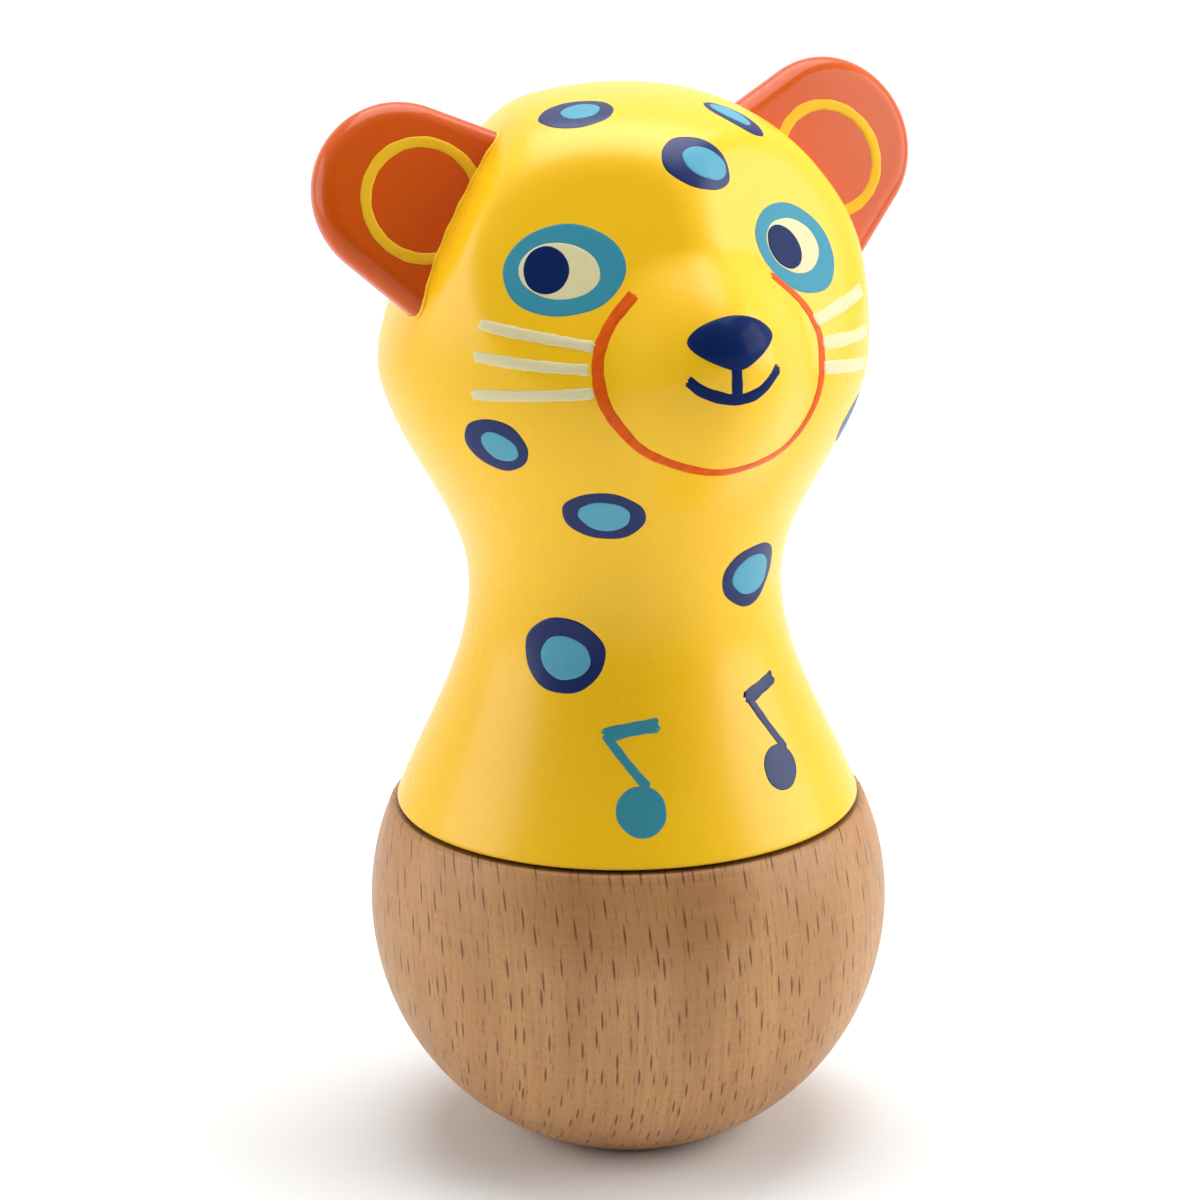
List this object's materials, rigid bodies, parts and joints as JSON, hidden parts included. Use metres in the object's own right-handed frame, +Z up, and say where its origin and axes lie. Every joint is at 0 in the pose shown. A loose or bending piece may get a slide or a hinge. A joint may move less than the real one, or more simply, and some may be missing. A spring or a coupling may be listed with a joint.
{
  "type": "wooden maraca",
  "caption": "Toddler's wooden maraca: a painted big-cat figure with a narrow waist, glued into a round beech bowl that holds loose rattling beads.",
  "frame": {"origin": "centre of the flat foot, on the surface that the maraca stands on", "axes": "+Z up along the turning axis to the crown, the face looks along -Y, +X to the right seen from the front"},
  "size_m": [0.0741, 0.0643, 0.128],
  "materials": {
    "yellow_paint": "satin paint",
    "orange_paint": "satin paint",
    "beech": "oiled",
    "dowel_wood": "bare",
    "bead_steel": "polished"
  },
  "bodies": {
    "maraca": {"base_bowl": "beech", "painted_body": "yellow_paint", "ear_left": "orange_paint", "ear_right": "orange_paint", "ear_dowel_left": "dowel_wood", "ear_dowel_right": "dowel_wood"},
    "bead_01": {"rattle_bead_01": "bead_steel"},
    "bead_02": {"rattle_bead_02": "bead_steel"},
    "bead_03": {"rattle_bead_03": "bead_steel"},
    "bead_04": {"rattle_bead_04": "bead_steel"},
    "bead_05": {"rattle_bead_05": "bead_steel"},
    "bead_06": {"rattle_bead_06": "bead_steel"},
    "bead_07": {"rattle_bead_07": "bead_steel"},
    "bead_08": {"rattle_bead_08": "bead_steel"},
    "bead_09": {"rattle_bead_09": "bead_steel"},
    "bead_10": {"rattle_bead_10": "bead_steel"},
    "bead_11": {"rattle_bead_11": "bead_steel"},
    "bead_12": {"rattle_bead_12": "bead_steel"},
    "bead_13": {"rattle_bead_13": "bead_steel"},
    "bead_14": {"rattle_bead_14": "bead_steel"},
    "bead_15": {"rattle_bead_15": "bead_steel"},
    "bead_16": {"rattle_bead_16": "bead_steel"},
    "bead_17": {"rattle_bead_17": "bead_steel"},
    "bead_18": {"rattle_bead_18": "bead_steel"},
    "bead_19": {"rattle_bead_19": "bead_steel"}
  },
  "joints": [
    {"name": "bead_01_bounce", "type": "slide", "parent": "maraca", "child": "bead_01", "axis": [0, 0, 1], "range_m": [0, 0.0184]},
    {"name": "bead_02_bounce", "type": "slide", "parent": "maraca", "child": "bead_02", "axis": [0, 0, 1], "range_m": [0, 0.0184]},
    {"name": "bead_03_bounce", "type": "slide", "parent": "maraca", "child": "bead_03", "axis": [0, 0, 1], "range_m": [0, 0.0184]},
    {"name": "bead_04_bounce", "type": "slide", "parent": "maraca", "child": "bead_04", "axis": [0, 0, 1], "range_m": [0, 0.0184]},
    {"name": "bead_05_bounce", "type": "slide", "parent": "maraca", "child": "bead_05", "axis": [0, 0, 1], "range_m": [0, 0.0184]},
    {"name": "bead_06_bounce", "type": "slide", "parent": "maraca", "child": "bead_06", "axis": [0, 0, 1], "range_m": [0, 0.0184]},
    {"name": "bead_07_bounce", "type": "slide", "parent": "maraca", "child": "bead_07", "axis": [0, 0, 1], "range_m": [0, 0.0184]},
    {"name": "bead_08_bounce", "type": "slide", "parent": "maraca", "child": "bead_08", "axis": [0, 0, 1], "range_m": [0, 0.0184]},
    {"name": "bead_09_bounce", "type": "slide", "parent": "maraca", "child": "bead_09", "axis": [0, 0, 1], "range_m": [0, 0.0184]},
    {"name": "bead_10_bounce", "type": "slide", "parent": "maraca", "child": "bead_10", "axis": [0, 0, 1], "range_m": [0, 0.0184]},
    {"name": "bead_11_bounce", "type": "slide", "parent": "maraca", "child": "bead_11", "axis": [0, 0, 1], "range_m": [0, 0.0184]},
    {"name": "bead_12_bounce", "type": "slide", "parent": "maraca", "child": "bead_12", "axis": [0, 0, 1], "range_m": [0, 0.0184]},
    {"name": "bead_13_bounce", "type": "slide", "parent": "maraca", "child": "bead_13", "axis": [0, 0, 1], "range_m": [0, 0.0184]},
    {"name": "bead_14_bounce", "type": "slide", "parent": "maraca", "child": "bead_14", "axis": [0, 0, 1], "range_m": [0, 0.0184]},
    {"name": "bead_15_bounce", "type": "slide", "parent": "maraca", "child": "bead_15", "axis": [0, 0, 1], "range_m": [0, 0.0184]},
    {"name": "bead_16_bounce", "type": "slide", "parent": "maraca", "child": "bead_16", "axis": [0, 0, 1], "range_m": [0, 0.0184]},
    {"name": "bead_17_bounce", "type": "slide", "parent": "maraca", "child": "bead_17", "axis": [0, 0, 1], "range_m": [0, 0.0184]},
    {"name": "bead_18_bounce", "type": "slide", "parent": "maraca", "child": "bead_18", "axis": [0, 0, 1], "range_m": [0, 0.0184]},
    {"name": "bead_19_bounce", "type": "slide", "parent": "maraca", "child": "bead_19", "axis": [0, 0, 1], "range_m": [0, 0.0184]}
  ]
}
